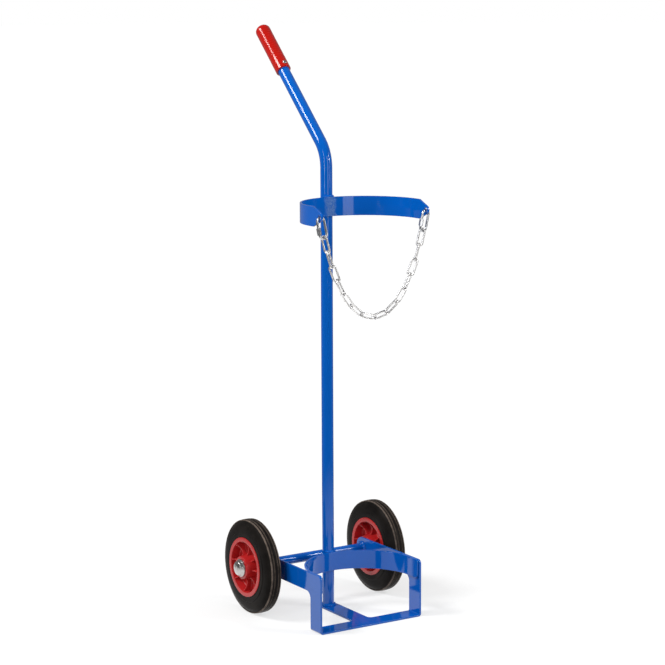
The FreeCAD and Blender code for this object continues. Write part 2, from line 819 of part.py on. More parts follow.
def oriented(centre, along, normal):
    """A placement whose X axis runs along one direction and whose Z axis is the normal."""
    across = normal.cross(along).normalize()
    matrix = FreeCAD.Matrix(along.x, across.x, normal.x, centre.x,
                            along.y, across.y, normal.y, centre.y,
                            along.z, across.z, normal.z, centre.z,
                            0, 0, 0, 1)
    return FreeCAD.Placement(matrix)


def square_to(direction, other):
    """The unit direction square to one direction that lies nearest to the other."""
    return (other - direction * other.dot(direction)).normalize()


def hanging_chain():
    """Two quick links in the collar's tips, and the chain of links that hangs between them."""
    count = SIZES["link_count"]
    lean = math.radians(value("ring_lean"))
    turned = math.radians(value("chain_facing"))
    facing = FreeCAD.Vector(math.sin(turned), math.cos(turned), 0)
    hang = value("tip_hole_radius - ring_wire / 2 - ring_play")
    hole_side = value("upper_collar_radius + sheet_thickness / 2")
    hole = FreeCAD.Vector(hole_side, -value("tip_front"), value("tip_centre"))
    parts = []
    low = {}
    for name, side in (("left", -1), ("right", 1)):
        along = FreeCAD.Vector(side * math.sin(lean), 0, math.cos(lean))
        top = FreeCAD.Vector(side * hole.x, hole.y, hole.z - hang)
        turn = math.radians(value(f"{name}_ring_turn"))
        across = square_to(along, FreeCAD.Vector(-math.cos(turn), -math.sin(turn), 0))
        spot = oriented(top - along * value("ring_reach"), along, along.cross(across))
        parts.append(quick_link(f"{name}_quick_link", spot))
        parts.append(link_nut(f"{name}_link_nut", spot))
        low[side] = top - along * value("ring_reach + ring_half_run")
    # The chain is a line through the centres of all the bends: a link's straight run, then a short step to
    # the next link, which halves the turn between them and is shorter where they turn more. Equal links hang
    # so that the slope's tangent rises by the same amount from each to the next.
    run = value("2 * link_half_run")
    bend_radius = value("link_bend")
    step = value("2 * link_bend - link_wire - link_play")
    ring_step = value("ring_bend + link_bend - (ring_wire + link_wire) / 2 - link_play")
    ring_slope = math.pi / 2 - lean

    def route(rise):
        slopes = [math.atan(rise * (number - (count - 1) / 2)) for number in range(count)]
        around = [-ring_slope] + slopes + [ring_slope]
        steps = [(start + end) / 2 for start, end in zip(around, around[1:])]
        turns = [end - start for start, end in zip(around, around[1:])]
        lengths = [step - 4 * bend_radius * (1 - math.cos(turn / 2)) for turn in turns]
        lengths[0] = lengths[-1] = ring_step
        return slopes, steps, lengths

    def span(rise):
        slopes, steps, lengths = route(rise)
        across_links = sum(run * math.cos(slope) for slope in slopes)
        return across_links + sum(length * math.cos(slope) for slope, length in zip(steps, lengths))

    flat, steep = 0.0, 10.0
    for _ in range(60):
        middle = (flat + steep) / 2
        flat, steep = (middle, steep) if span(middle) > low[1].x - low[-1].x else (flat, middle)
    slopes, steps, lengths = route(flat)
    bend = low[-1]
    for number, slope in enumerate(slopes):
        bend = bend + FreeCAD.Vector(math.cos(steps[number]), 0, math.sin(steps[number])) * lengths[number]
        along = FreeCAD.Vector(math.cos(slope), 0, math.sin(slope))
        normal = FreeCAD.Rotation(along, LINK_ROLLS[number]).multVec(square_to(along, facing))
        spot = oriented(bend + along * (run / 2), along, normal)
        parts.append(chain_link(f"chain_link_{number + 1:02d}", spot))
        bend = bend + along * run
    return parts


parts = [
    base_frame(),
    lower_collar(),
    upper_collar(),
    upright_tube(),
    foot_weld(),
    collar_weld("lower_collar_weld", "plate_height"),
    collar_weld("upper_collar_weld", "tip_centre + arm_half"),
    axle(),
    axle_welds(),
    hand_grip(),
    grip_screw(),
]
for name, side in (("left", -1), ("right", 1)):
    parts += [
        washer(f"{name}_inner_washer", side, "half_width", "inner_washer_thickness"),
        washer(f"{name}_outer_washer", side, "outer_washer_start", "outer_washer_thickness"),
        axle_cap(f"{name}_axle_cap", side),
        tyre(f"{name}_tyre", side),
        rim(f"{name}_rim", side),
        roller_cage(f"{name}_roller_cage", side),
        rollers(f"{name}_rollers", side),
    ]
parts += hanging_chain()
doc.recompute()

for item in doc.Objects:
    if "Invalid" in item.State or "Error" in item.State:
        raise ValueError(f"{item.Label} failed: {item.State}")
for part in parts:
    if part.Shape.isNull() or not part.Shape.isValid() or not part.Shape.Solids:
        raise ValueError(f"{part.Label} has no sound shape")

os.makedirs("parts", exist_ok=True)
for part in parts:
    part.Shape.exportStep(f"parts/{part.Label}.step")
    box = part.Shape.BoundBox
    print(part.Label, len(part.Shape.Solids), round(part.Shape.Volume, 1),
          [round(number, 2) for number in (box.XMin, box.XMax, box.YMin, box.YMax, box.ZMin, box.ZMax)])
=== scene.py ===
import json
import math
import random

import bmesh
import bpy
from mathutils import Matrix, Vector


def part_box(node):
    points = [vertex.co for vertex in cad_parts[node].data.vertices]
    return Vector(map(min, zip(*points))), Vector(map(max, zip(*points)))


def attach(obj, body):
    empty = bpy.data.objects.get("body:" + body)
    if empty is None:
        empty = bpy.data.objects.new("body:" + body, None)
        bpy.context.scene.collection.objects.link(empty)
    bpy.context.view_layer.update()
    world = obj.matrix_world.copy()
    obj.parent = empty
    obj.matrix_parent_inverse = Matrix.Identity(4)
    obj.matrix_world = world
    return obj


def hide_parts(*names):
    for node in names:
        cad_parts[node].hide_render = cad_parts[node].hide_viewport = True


# Gas cylinder trolley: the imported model, dressed with materials, moulded wheels, pressed caps, weld beads,
# a ribbed grip and studio light.
# The row frame is in metres: X along the axle, the front faces -Y, Z up. Outlines and the sizes of pieces
# are in millimetres, and moved() brings their points into the row frame.

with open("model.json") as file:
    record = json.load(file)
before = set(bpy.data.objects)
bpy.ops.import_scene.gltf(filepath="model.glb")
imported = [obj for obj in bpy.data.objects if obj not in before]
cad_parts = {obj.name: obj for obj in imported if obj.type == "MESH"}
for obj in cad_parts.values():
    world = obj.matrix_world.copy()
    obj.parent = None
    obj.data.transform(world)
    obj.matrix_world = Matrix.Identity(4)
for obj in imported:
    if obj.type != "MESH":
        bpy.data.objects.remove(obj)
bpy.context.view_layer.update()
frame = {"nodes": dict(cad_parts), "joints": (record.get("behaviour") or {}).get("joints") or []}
NODES = frame["nodes"]

MM = 0.001
UNTURNED = Matrix.Identity(3)

# Both sides of the trolley, with the sign of X there.
SIDES = {"left": -1, "right": 1}

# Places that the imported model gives, in metres. A round node's box depends a little on its facets, so the
# place that comes from one is rounded.
JOINTS = {joint["name"]: joint for joint in frame["joints"]}
WHEEL_PLACES = {side: Vector(JOINTS[f"{side}_wheel_spin"]["pos_m"]) for side in SIDES}
AXLE_LINE = WHEEL_PLACES["right"].yz
ARM_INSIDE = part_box("axle_welds")[1].x
CAP_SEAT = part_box("right_axle_cap")[0].x
TUBE_Y = round(sum(corner.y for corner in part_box("foot_weld")) / 2, 4)

# Camera of the photograph: its place in metres, its turns in radians, its sensor and lens in millimetres,
# and how near and how far it sees in metres.
CAMERA_PLACE = Vector((-2.3649, -3.64507, 1.3198))
CAMERA_YAW = 0.561888
CAMERA_PITCH = 0.162124
CAMERA_ROLL = -0.004368
SENSOR_WIDTH = 36
LENS = 117.15
NEAREST = 0.05
FARTHEST = 200


def add_camera():
    """The photograph's camera: level but for a small roll, looking down a little from the left front."""
    right = Vector((math.cos(CAMERA_YAW), -math.sin(CAMERA_YAW), 0))
    forward = Vector((
        math.sin(CAMERA_YAW) * math.cos(CAMERA_PITCH),
        math.cos(CAMERA_YAW) * math.cos(CAMERA_PITCH),
        -math.sin(CAMERA_PITCH),
    ))
    up = right.cross(forward)
    rolled_right = right * math.cos(CAMERA_ROLL) + up * math.sin(CAMERA_ROLL)
    rolled_up = up * math.cos(CAMERA_ROLL) - right * math.sin(CAMERA_ROLL)
    turn = Matrix((rolled_right, rolled_up, -forward)).transposed().to_4x4()
    data = bpy.data.cameras.new("camera")
    data.sensor_width = SENSOR_WIDTH
    data.lens = LENS
    data.clip_start = NEAREST
    data.clip_end = FARTHEST
    camera = bpy.data.objects.new("camera", data)
    camera.matrix_world = Matrix.Translation(CAMERA_PLACE) @ turn
    bpy.context.scene.collection.objects.link(camera)
    bpy.context.scene.camera = camera


# The studio in reflections: the backdrop behind the object is pale, the lit floor paper round the object
# is paler, and the side that the photograph was taken from is dark.
BACKDROP = Vector((math.sin(CAMERA_YAW), math.cos(CAMERA_YAW), 0))
DARK_SIDE = 0.06
PALE_SIDE = 0.32
PAPER = 1.6
PAPER_REACH = 0.65

# The world's even light on the object.
FILL = 0.47

# The floor, and the lift that keeps it white to the camera where the lamps' light on it falls off.
FLOOR_RADIUS = 60
FLOOR_COLOUR = (0.35, 0.35, 0.35)
FLOOR_LIFT_NEAR = 0.61
FLOOR_LIFT_FAR = 0.862
FLOOR_LIFT_REACH = 1.65

# Soft boxes: name, place, target, width and height in metres, and power in watts.
LAMPS = (
    ("key", (-1.9, 0.75, 2.75), (0, 0.2, 0.9), (0.9, 0.9), 66),
    ("axle_glint", (1.19, -1.295, 1.545), (-0.07, 0.15, 0.1), (0.15, 0.45), 9),
    ("left_strip", (-2.3, -0.95, 1.5), (0, 0.1, 1.1), (0.4, 1.8), 18),
    ("right_strip", (1.7, -1.75, 1.5), (0, 0.1, 1.1), (0.45, 1.8), 15),
    ("front", (-0.14, -2.7, 1.36), (-0.14, 0, 1.1), (1.0, 1.9), 19),
)


class Shader:
    """A node tree that is filled by short calls."""

    def __init__(self, tree):
        self.tree = tree
        self.tree.nodes.clear()

    def add(self, kind, **settings):
        node = self.tree.nodes.new(kind)
        for name, setting in settings.items():
            setattr(node, name, setting)
        return node

    def join(self, start, end):
        self.tree.links.new(start, end)

    def maths(self, operation, first, second=None):
        """One step of arithmetic on one or two values, of which the second may be a plain number."""
        node = self.add("ShaderNodeMath", operation=operation)
        self.join(first, node.inputs[0])
        if isinstance(second, float):
            node.inputs[1].default_value = second
        elif second is not None:
            self.join(second, node.inputs[1])
        return node.outputs[0]

    def larger(self, first, second):
        return self.maths("MAXIMUM", first, second)

    def product(self, first, second):
        return self.maths("MULTIPLY", first, second)

    def vector_maths(self, operation, first, second=None):
        """The outputs of one step of vector maths, of which the second vector is fixed."""
        node = self.add("ShaderNodeVectorMath", operation=operation)
        self.join(first, node.inputs[0])
        if second is not None:
            node.inputs[1].default_value = second
        return node.outputs

    def across_axis(self, place, axis):
        """The distance from the middle plane that an axis is square to."""
        axes = self.add("ShaderNodeSeparateXYZ")
        self.join(place, axes.inputs[0])
        return self.maths("ABSOLUTE", axes.outputs[axis])

    def in_reflection(self):
        """1 for glossy and transmission rays, 0 for the rest."""
        path = self.add("ShaderNodeLightPath")
        return self.larger(path.outputs["Is Glossy Ray"], path.outputs["Is Transmission Ray"])

    def towards_backdrop(self, place, start, end):
        """The brightness seen in reflections: pale on the backdrop's side, dark on the camera's."""
        along = self.vector_maths("DOT_PRODUCT", place, BACKDROP)["Value"]
        return self.spread(along, DARK_SIDE, PALE_SIDE, start, end)

    def noise(self, coordinates, scale, detail=2.0, roughness=0.5):
        """Noise with a number of grains to the metre."""
        texture = self.add("ShaderNodeTexNoise")
        texture.inputs["Scale"].default_value = scale
        texture.inputs["Detail"].default_value = detail
        texture.inputs["Roughness"].default_value = roughness
        self.join(coordinates, texture.inputs["Vector"])
        return texture.outputs["Fac"]

    def spread(self, value, low, high, start=0.0, end=1.0):
        """Maps start to end onto low to high."""
        ramp = self.add("ShaderNodeMapRange")
        for name, number in (("From Min", start), ("From Max", end), ("To Min", low), ("To Max", high)):
            ramp.inputs[name].default_value = number
        self.join(value, ramp.inputs["Value"])
        return ramp.outputs["Result"]

    def blend(self, value, first, second):
        """Mixes two colours by a value."""
        mix = self.add("ShaderNodeMix", data_type="RGBA")
        self.join(value, mix.inputs["Factor"])
        for socket, colour in ((mix.inputs["A"], first), (mix.inputs["B"], second)):
            if isinstance(colour, tuple):
                socket.default_value = (*colour, 1)
            else:
                self.join(colour, socket)
        return mix.outputs["Result"]

    def bump(self, height, distance, normal=None):
        """A relief of a height in metres, on top of another where one is given."""
        node = self.add("ShaderNodeBump")
        node.inputs["Distance"].default_value = distance
        self.join(height, node.inputs["Height"])
        if normal is not None:
            self.join(normal, node.inputs["Normal"])
        return node.outputs["Normal"]


def empty_material(name):
    """A material, and its node tree with nothing in it."""
    material = bpy.data.materials.new(name)
    material.use_nodes = True
    return material, Shader(material.node_tree)


def new_material(name):
    """A material, its node tree, its surface, and the place of each point in the row frame."""
    material, shader = empty_material(name)
    surface = shader.add("ShaderNodeBsdfPrincipled")
    out = shader.add("ShaderNodeOutputMaterial")
    shader.join(surface.outputs["BSDF"], out.inputs["Surface"])
    place = shader.add("ShaderNodeTexCoord").outputs["Object"]
    return material, shader, surface, place


def floor_material():
    """Matt paper that is lifted to white for the camera, and shows the studio in reflections."""
    material, shader = empty_material("floor")
    place = shader.add("ShaderNodeTexCoord").outputs["Object"]
    path = shader.add("ShaderNodeLightPath")
    lit = shader.add("ShaderNodeBsdfDiffuse")
    lit.inputs["Color"].default_value = (*FLOOR_COLOUR, 1)
    lift = shader.add("ShaderNodeEmission")
    distance = shader.vector_maths("LENGTH", place)["Value"]
    squared = shader.product(distance, distance)
    share = shader.maths("DIVIDE", squared, shader.maths("ADD", squared, FLOOR_LIFT_REACH ** 2))
    level = shader.spread(share, FLOOR_LIFT_NEAR, FLOOR_LIFT_FAR)
    shader.join(shader.product(level, path.outputs["Is Camera Ray"]), lift.inputs["Strength"])
    seen = shader.add("ShaderNodeAddShader")
    shader.join(lit.outputs[0], seen.inputs[0])
    shader.join(lift.outputs[0], seen.inputs[1])
    mirrored = shader.add("ShaderNodeEmission")
    studio = shader.towards_backdrop(place, start=-1.0, end=1.0)
    paper = shader.spread(distance, PAPER, DARK_SIDE, start=PAPER_REACH, end=2 * PAPER_REACH)
    shader.join(shader.larger(studio, paper), mirrored.inputs["Strength"])
    choice = shader.add("ShaderNodeMixShader")
    shader.join(shader.in_reflection(), choice.inputs[0])
    shader.join(seen.outputs[0], choice.inputs[1])
    shader.join(mirrored.outputs[0], choice.inputs[2])
    out = shader.add("ShaderNodeOutputMaterial")
    shader.join(choice.outputs[0], out.inputs["Surface"])
    return material


def add_floor():
    """A pale floor that is white to the camera away from the object and keeps the object's shadow."""
    mesh = bpy.data.meshes.new("floor")
    shape = bmesh.new()
    bmesh.ops.create_circle(shape, cap_ends=True, segments=96, radius=FLOOR_RADIUS)
    shape.to_mesh(mesh)
    shape.free()
    floor = bpy.data.objects.new("floor", mesh)
    bpy.context.scene.collection.objects.link(floor)
    mesh.materials.append(floor_material())


def add_world():
    """White to the camera, the studio's light and dark sides in reflections, and a soft fill elsewhere."""
    world = bpy.data.worlds.new("studio")
    bpy.context.scene.world = world
    world.use_nodes = True
    shader = Shader(world.node_tree)
    direction = shader.add("ShaderNodeTexCoord").outputs["Generated"]
    path = shader.add("ShaderNodeLightPath")
    studio = shader.towards_backdrop(direction, start=-0.4, end=0.5)
    plain = shader.spread(path.outputs["Is Camera Ray"], FILL, 1.0)
    level = shader.add("ShaderNodeMix", data_type="FLOAT")
    shader.join(shader.in_reflection(), level.inputs["Factor"])
    shader.join(plain, level.inputs["A"])
    shader.join(studio, level.inputs["B"])
    light = shader.add("ShaderNodeBackground")
    light.inputs["Color"].default_value = (1, 1, 1, 1)
    shader.join(level.outputs["Result"], light.inputs["Strength"])
    out = shader.add("ShaderNodeOutputWorld")
    shader.join(light.outputs[0], out.inputs["Surface"])


def add_lamp(name, place, target, size, power):
    """A rectangular soft box that faces a target."""
    data = bpy.data.lights.new(name, "AREA")
    data.shape = "RECTANGLE"
    data.size, data.size_y = size
    data.energy = power
    lamp = bpy.data.objects.new(name, data)
    lamp.location = place
    lamp.rotation_euler = (Vector(target) - Vector(place)).to_track_quat("-Z", "Y").to_euler()
    bpy.context.scene.collection.objects.link(lamp)


# Colours in linear light.
PAINT_DEEP = (0.0007, 0.0845, 0.39)
PAINT_PALE = (0.001, 0.099, 0.465)
# Paler blue painted on the weld spatter's drops: painted glints on them.
SPATTER_PAINTED_GLINT = (0.2, 0.33, 0.56)
RUBBER_DEEP = (0.0075, 0.0066, 0.006)
RUBBER_PALE = (0.017, 0.0145, 0.013)
# Brown grey painted along the tyre's tread edges: a painted highlight.
RUBBER_PAINTED_HIGHLIGHT = (0.18, 0.14, 0.115)

# How far the weld spatter reaches on each side of the tube, with its fade and its ragged edge, in metres.
SPATTER_REACH = 0.011
SPATTER_FADE = 0.004
SPATTER_RAGGED = 0.012

# Where the rubber's painted highlight sets in, in metres: by the radius, and by the distance from the
# wheel's middle plane at the tread's lips and at its grooves, beyond which it fades again.
PAINTED_HIGHLIGHT_RADIUS = (0.0964, 0.0984)
PAINTED_HIGHLIGHT_LIP = (0.0078, 0.0098)
PAINTED_HIGHLIGHT_GROOVE_IN = (0.0026, 0.0034)
PAINTED_HIGHLIGHT_GROOVE_OUT = (0.0052, 0.006)


def blue_paint(name, spatter_and_glint=False):
    """Glossy powder paint with a fine orange peel, and on request weld spatter under it beside the tube,
    with painted glints on its drops.
    """
    material, shader, surface, place = new_material(name)
    surface.inputs["Specular IOR Level"].default_value = 0.32
    cloud = shader.noise(place, 9, detail=3)
    colour = shader.blend(cloud, PAINT_DEEP, PAINT_PALE)
    peel = shader.noise(place, 420, detail=1)
    normal = shader.bump(peel, 0.0006 * MM)
    if spatter_and_glint:
        ragged = shader.spread(shader.noise(place, 120, detail=2), -SPATTER_RAGGED, SPATTER_RAGGED)
        beside = shader.maths("ADD", shader.across_axis(place, "X"), ragged)
        near = shader.spread(
            beside, 1, 0, start=SPATTER_REACH - SPATTER_FADE, end=SPATTER_REACH + SPATTER_FADE)
        drops = shader.spread(shader.noise(place, 1100, detail=3, roughness=0.7), 0, 1, start=0.48, end=0.6)
        height = shader.product(near, drops)
        normal = shader.bump(height, 0.3 * MM, normal=normal)
        # The drops are painted paler than the paint round them: painted glints.
        colour = shader.blend(height, colour, SPATTER_PAINTED_GLINT)
    shader.join(colour, surface.inputs["Base Color"])
    shader.join(shader.spread(cloud, 0.05, 0.09), surface.inputs["Roughness"])
    shader.join(normal, surface.inputs["Normal"])
    return material


def moulded_plastic(name, dark, light, roughness):
    """Moulded plastic with a faint cloud in its colour and a matt grain."""
    material, shader, surface, place = new_material(name)
    surface.inputs["Specular IOR Level"].default_value = 0.3
    cloud = shader.noise(place, 30, detail=3)
    shader.join(shader.blend(cloud, dark, light), surface.inputs["Base Color"])
    shader.join(shader.spread(cloud, roughness - 0.05, roughness + 0.05), surface.inputs["Roughness"])
    grain = shader.noise(place, 900, detail=2)
    shader.join(shader.bump(grain, 0.008 * MM), surface.inputs["Normal"])
    return material


def tyre_rubber():
    """Black rubber with brown-grey painted highlights in patches along the edges of its tread and grooves.
    """
    material, shader, surface, place = new_material("tyre_rubber")
    surface.inputs["Specular IOR Level"].default_value = 0.02
    cloud = shader.noise(place, 24, detail=5, roughness=0.6)
    plain = shader.blend(shader.spread(cloud, 0, 1, start=0.35, end=0.7), RUBBER_DEEP, RUBBER_PALE)
    offset = shader.vector_maths("SUBTRACT", place, WHEEL_PLACES["right"])["Vector"]
    upright = shader.vector_maths("MULTIPLY", offset, (0, 1, 1))["Vector"]
    radius = shader.vector_maths("LENGTH", upright)["Value"]
    outer = shader.spread(radius, 0, 1, *PAINTED_HIGHLIGHT_RADIUS)
    from_middle = shader.maths(
        "ABSOLUTE", shader.maths("SUBTRACT", shader.across_axis(place, "X"), WHEEL_PLACES["right"].x))
    lip = shader.spread(from_middle, 0, 1, *PAINTED_HIGHLIGHT_LIP)
    groove_in = shader.spread(from_middle, 0, 0.6, *PAINTED_HIGHLIGHT_GROOVE_IN)
    groove_out = shader.spread(from_middle, 1, 0, *PAINTED_HIGHLIGHT_GROOVE_OUT)
    groove = shader.product(groove_in, groove_out)
    patchy = shader.spread(shader.noise(place, 60, detail=4, roughness=0.7), 0.2, 1, start=0.3, end=0.65)
    # Painted highlight: brown grey in patches along the tread's lips and grooves near the crown.
    painted_highlight = shader.product(shader.product(outer, shader.larger(lip, groove)), patchy)
    shader.join(shader.blend(painted_highlight, plain, RUBBER_PAINTED_HIGHLIGHT), surface.inputs["Base Color"])
    shader.join(shader.spread(cloud, 0.3, 0.45), surface.inputs["Roughness"])
    grain = shader.noise(place, 1400, detail=2)
    shader.join(shader.bump(grain, 0.04 * MM), surface.inputs["Normal"])
    return material


def plated(name, dark, light, roughness, waves=None):
    """Bright zinc plate with a faint grain, and on request the shallow waves of a pressed sheet."""
    material, shader, surface, place = new_material(name)
    surface.inputs["Metallic"].default_value = 1.0
    cloud = shader.noise(place, 160, detail=4)
    shader.join(shader.blend(cloud, dark, light), surface.inputs["Base Color"])
    shader.join(shader.spread(cloud, roughness - 0.06, roughness + 0.06), surface.inputs["Roughness"])
    sheet = shader.bump(shader.noise(place, 190, detail=1), waves) if waves else None
    grain = shader.noise(place, 1600, detail=2)
    shader.join(shader.bump(grain, 0.006 * MM, normal=sheet), surface.inputs["Normal"])
    return material


paint = blue_paint("blue_paint")
spatter_and_glint_paint = blue_paint("spatter_and_glint_paint", spatter_and_glint=True)
rim_red = moulded_plastic("rim_red", (0.38, 0.01, 0.012), (0.5, 0.018, 0.018), 0.34)
grip_red = moulded_plastic("grip_red", (0.36, 0.005, 0.0025), (0.43, 0.008, 0.004), 0.16)
cage_plastic = moulded_plastic("cage_plastic", (0.01, 0.01, 0.01), (0.02, 0.02, 0.02), 0.4)
rubber = tyre_rubber()
zinc = plated("zinc", (0.45, 0.46, 0.48), (0.62, 0.63, 0.65), 0.3)
chain_zinc = plated("chain_zinc", (0.68, 0.67, 0.66), (0.84, 0.83, 0.82), 0.36)
cap_zinc = plated("cap_zinc", (0.31, 0.3, 0.29), (0.42, 0.41, 0.4), 0.3, waves=0.8 * MM)

BY_SLOT = {
    "blue_paint": paint,
    "rim_red": rim_red,
    "grip_red": grip_red,
    "tyre": rubber,
    "zinc": zinc,
    "chain_steel": chain_zinc,
    "cage_plastic": cage_plastic,
    "roller_steel": zinc,
}

# CAD nodes that keep their shape and get rounded edges, and the width of those in metres.
SOFTENED_NODES = ("base_frame", "lower_collar", "upper_collar", "left_link_nut", "right_link_nut")
SOFT_EDGE = 0.6 * MM


def dress_nodes():
    """Gives each CAD node the material of its slot, and the upper collar the spattered paint with painted
    glints.
    """
    for node in NODES.values():
        for holder in node.material_slots:
            holder.material = BY_SLOT[holder.material.name]
    for holder in NODES["upper_collar"].material_slots:
        holder.material = spatter_and_glint_paint


def soften_edges(node, width):
    """Rounds the sharp edges of a CAD node by modifiers, so that they catch the light."""
    weld = node.modifiers.new("weld", "WELD")
    weld.merge_threshold = 0.01 * MM
    flat = node.modifiers.new("flat", "DECIMATE")
    flat.decimate_type = "DISSOLVE"
    flat.angle_limit = math.radians(0.5)
    bevel = node.modifiers.new("bevel", "BEVEL")
    bevel.width = width
    bevel.segments = 3
    bevel.limit_method = "ANGLE"
    bevel.angle_limit = math.radians(40)
    normals = node.modifiers.new("normals", "WEIGHTED_NORMAL")
    normals.mode = "FACE_AREA"
    normals.weight = 100


def add_piece(name, points, faces, body, material, stands_for=()):
    """A smooth mesh piece that rides on a body and may stand for CAD nodes."""
    mesh = bpy.data.meshes.new(name)
    mesh.from_pydata(points, [], faces)
    shape = bmesh.new()
    shape.from_mesh(mesh)
    bmesh.ops.recalc_face_normals(shape, faces=shape.faces)
    shape.to_mesh(mesh)
    shape.free()
    for face in mesh.polygons:
        face.use_smooth = True
    mesh.materials.append(material)
    piece = bpy.data.objects.new(name, mesh)
    bpy.context.scene.collection.objects.link(piece)
    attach(piece, body)
    if stands_for:
        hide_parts(*stands_for)
    return piece


def moved(points, turn, place):
    """Points in millimetres of a piece's own frame, as metres of the row frame."""
    return [place + turn @ point * MM for point in points]


def rounded(corners, steps=4):
    """An outline from (x, y, radius) corners, each rounded by an arc of its radius."""
    outline = []
    for number, (x, y, radius) in enumerate(corners):
        here = Vector((x, y))
        if radius == 0:
            outline.append(here)
            continue
        back = (Vector(corners[number - 1][:2]) - here).normalized()
        ahead = (Vector(corners[(number + 1) % len(corners)][:2]) - here).normalized()
        half_angle = back.angle(ahead) / 2
        centre = here + (back + ahead).normalized() * (radius / math.sin(half_angle))
        reach = radius / math.tan(half_angle)
        start = here + back * reach - centre
        end = here + ahead * reach - centre
        outline += [centre + start.slerp(end, step / steps) * radius for step in range(steps + 1)]
    return outline


def arc(start, end, radius, steps):
    """Points along a left-turning arc, without its ends, as corners that stay sharp."""
    first, last = Vector(start), Vector(end)
    chord = last - first
    side = Vector((-chord.y, chord.x)).normalized()
    centre = (first + last) / 2 + side * math.sqrt(radius ** 2 - (chord.length / 2) ** 2)
    spokes = [(first - centre).slerp(last - centre, step / steps) * radius for step in range(1, steps)]
    return [(centre.x + spoke.x, centre.y + spoke.y, 0) for spoke in spokes]


def both_sides(corners):
    """The right half of an outline, followed by its mirror image in the second axis."""
    return corners + [(-x, y, radius) for x, y, radius in reversed(corners) if x != 0]


def strip(here, following, count):
    """The faces between two closed loops of points, given the number of each loop's first point."""
    faces = []
    for number in range(count):
        after = (number + 1) % count
        faces.append((here + number, here + after, following + after, following + number))
    return faces


def lathe(outline, segments):
    """Points and faces of a closed outline of (place along the axis, radius), turned about X."""
    points = []
    faces = []
    count = len(outline)
    for segment in range(segments):
        angle = math.tau * segment / segments
        points += [Vector((x, radius * math.cos(angle), radius * math.sin(angle))) for x, radius in outline]
        faces += strip(segment * count, (segment + 1) % segments * count, count)
    return points, faces


# Outlines that close on their axis end this near to it, so that every edge there has a length.
NEAR_AXIS = 0.01

# Wheels: radii about the axle, half widths from the wheel's middle plane, and the tyre's gap to its seat.
TYRE_RADIUS = 100
TYRE_HALF = 19.5
TYRE_GAP = 0.1
TREAD_HALF = 11.3
SEAT_RADIUS = 59
SEAT_HALF = 17
RIM_RADIUS = 62.9
RIM_INSIDE = 54
RIM_HALF = 21
HUB_RADIUS = 24
HUB_BORE = 16.2
HUB_HALF = 28
WEB_HALF = 2.5

# The tyre's side: half width and radius where its wall starts, where the wall turns inwards and where the
# tread starts. The grooves' floor is a radius.
WALL_FOOT = (18.4, 74.5)
WALL_TOP = (17.1, 85)
TREAD_FOOT = (TREAD_HALF, 95.6)
GROOVE_FLOOR = 98.5

# Ribs of the wheel centre: their number, the first one's angle in degrees, and half their thickness at the
# root and at the edge.
RIB_COUNT = 8
RIB_PHASE = 50.8
RIB_ROOT = 1.7
RIB_TOP = 1.3

# A rib's edge from hub to ring: the length of its curve, its height at the hub, its rise, its dip between
# and the height that it doesn't pass. A rib is built of stations one step apart.
RIB_RUN = 32
RIB_HEIGHT = 16.8
RIB_RISE = 7.4
RIB_DIP = 35.6
RIB_LIMIT = 20.3
RIB_STEP = 1.3
RIB_STATIONS = 25


def tyre_outline():
    """The tyre's section: edges rounded as moulded rubber is, and a groove on each side of the crown."""
    seat = SEAT_HALF - TYRE_GAP
    shoulder = RIM_RADIUS + TYRE_GAP
    bead = [(seat, SEAT_RADIUS + TYRE_GAP, 0), (seat, shoulder, 0), (TYRE_HALF, shoulder, 0.6),
            (TYRE_HALF, 73.5, 0.5), (*WALL_FOOT, 0.4)]
    wall = arc(WALL_FOOT, WALL_TOP, radius=56, steps=5)
    wall += [(*WALL_TOP, 0)]
    wall += arc(WALL_TOP, TREAD_FOOT, radius=18, steps=8)
    lip = [(*TREAD_FOOT, 0.9), (TREAD_HALF, 99.2, 1.0)]
    groove = [(4.95, 99.84, 0.4), (4.75, GROOVE_FLOOR, 0.35), (3.65, GROOVE_FLOOR, 0.35), (3.45, 99.9, 0.4)]
    crown = [(0.35, 99.95, 0), (0, TYRE_RADIUS, 0)]
    return rounded(both_sides(bead + wall + lip + groove + crown))


def rib_height(radius):
    """How far a rib's edge stands out from the wheel's middle plane: high at both ends, low between."""
    share = (radius - HUB_RADIUS) / RIB_RUN
    return min(RIB_HEIGHT + RIB_RISE * share - RIB_DIP * share * (1 - share), RIB_LIMIT)


def rib_loop(height):
    """The section across a rib through the web, with draft, rounded edges and flared roots."""
    half = [(2.3, 2.9), (2.7, 2.1), (3.6, RIB_ROOT), (height - 0.5, RIB_TOP),
            (height - 0.15, RIB_TOP - 0.15), (height, RIB_TOP - 0.5)]
    front = half + [(height, 0)] + [(x, -y) for x, y in reversed(half)]
    back = [(-x, -y) for x, y in half] + [(-height, 0)] + [(-x, y) for x, y in reversed(half)]
    return front + back


def wheel_ribs():
    """The curved ribs on both faces of the web."""
    points = []
    faces = []
    stations = [HUB_RADIUS - 0.5 + RIB_STEP * number for number in range(RIB_STATIONS)]
    for rib in range(RIB_COUNT):
        angle = math.radians(RIB_PHASE + 360 / RIB_COUNT * rib)
        outward = Vector((0, math.cos(angle), math.sin(angle)))
        across = Vector((0, -math.sin(angle), math.cos(angle)))
        first = len(points)
        for radius in stations:
            loop = rib_loop(rib_height(radius))
            points += [outward * radius + across * y + Vector((x, 0, 0)) for x, y in loop]
        count = len(loop)
        last = len(points) - count
        for here in range(first, last, count):
            faces += strip(here, here + count, count)
        faces.append(tuple(range(first, first + count)))
        faces.append(tuple(range(last, last + count)))
    return points, faces


